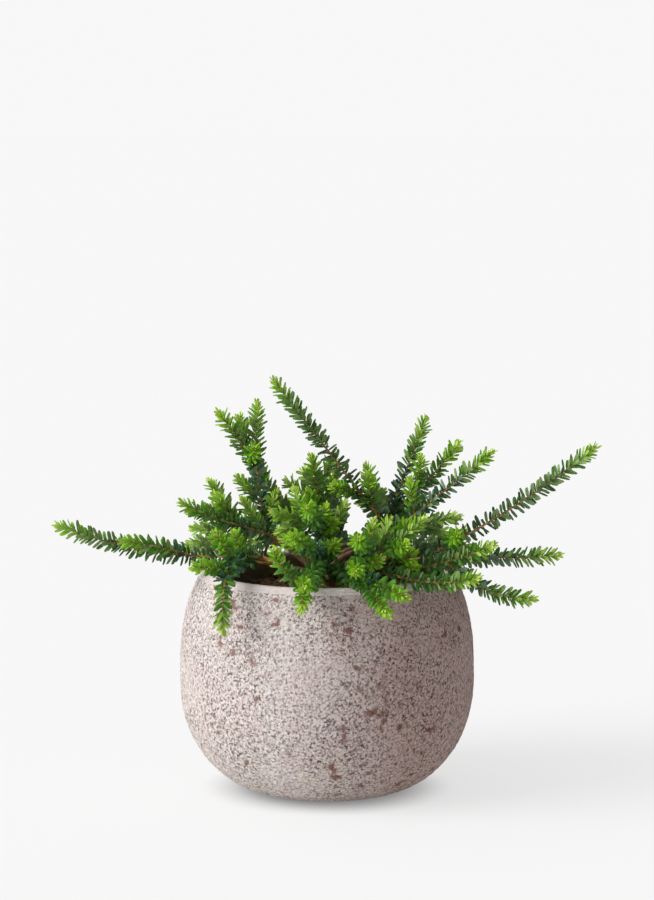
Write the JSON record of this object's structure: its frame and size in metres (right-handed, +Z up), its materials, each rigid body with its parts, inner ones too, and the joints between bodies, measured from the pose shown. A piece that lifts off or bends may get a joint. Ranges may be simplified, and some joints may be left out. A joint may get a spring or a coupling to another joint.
{
  "type": "potted woolly grevillea",
  "caption": "Low spreading evergreen shrub with narrow leaves all round its arching shoots, in a round, rough stone-look pot.",
  "frame": {"origin": "centre of the pot's flat underside, on the surface it stands on", "axes": "+Z up, -Y towards the front of the pot as pictured, +X to its right"},
  "size_m": [0.5098, 0.3888, 0.3836],
  "materials": {
    "pot": "matte",
    "soil": "matte",
    "bark": "matte",
    "foliage": "satin"
  },
  "bodies": {
    "root": {"pot": "pot", "soil": "soil", "main_stem": "bark", "far_left_bough": "bark", "left_bough": "bark", "tall_left_bough": "bark", "hanging_left_bough": "bark", "front_left_bough": "bark", "front_bough": "bark", "centre_bough": "bark", "centre_up_bough": "bark", "tall_centre_bough": "bark", "tall_right_bough": "bark", "right_up_bough": "bark", "far_right_bough": "bark", "right_bough": "bark", "right_front_bough": "bark", "right_low_bough": "bark", "front_right_low_bough": "bark", "front_mid_bough": "bark", "front_right_bough": "bark", "back_left_low_bough": "bark", "back_left_bough": "bark", "back_mid_left_bough": "bark", "back_bough": "bark", "back_hanging_bough": "bark", "back_mid_right_bough": "bark", "back_right_bough": "bark", "back_right_low_bough": "bark", "far_left_foliage": "foliage", "left_foliage": "foliage", "tall_left_foliage": "foliage", "hanging_left_foliage": "foliage", "front_left_foliage": "foliage", "front_foliage": "foliage", "centre_foliage": "foliage", "centre_up_foliage": "foliage", "tall_centre_foliage": "foliage", "tall_right_foliage": "foliage", "right_up_foliage": "foliage", "far_right_foliage": "foliage", "right_foliage": "foliage", "right_front_foliage": "foliage", "right_low_foliage": "foliage", "front_right_low_foliage": "foliage", "front_mid_foliage": "foliage", "front_right_foliage": "foliage", "back_left_low_foliage": "foliage", "back_left_foliage": "foliage", "back_mid_left_foliage": "foliage", "back_foliage": "foliage", "back_hanging_foliage": "foliage", "back_mid_right_foliage": "foliage", "back_right_foliage": "foliage", "back_right_low_foliage": "foliage"}
  },
  "joints": []
}
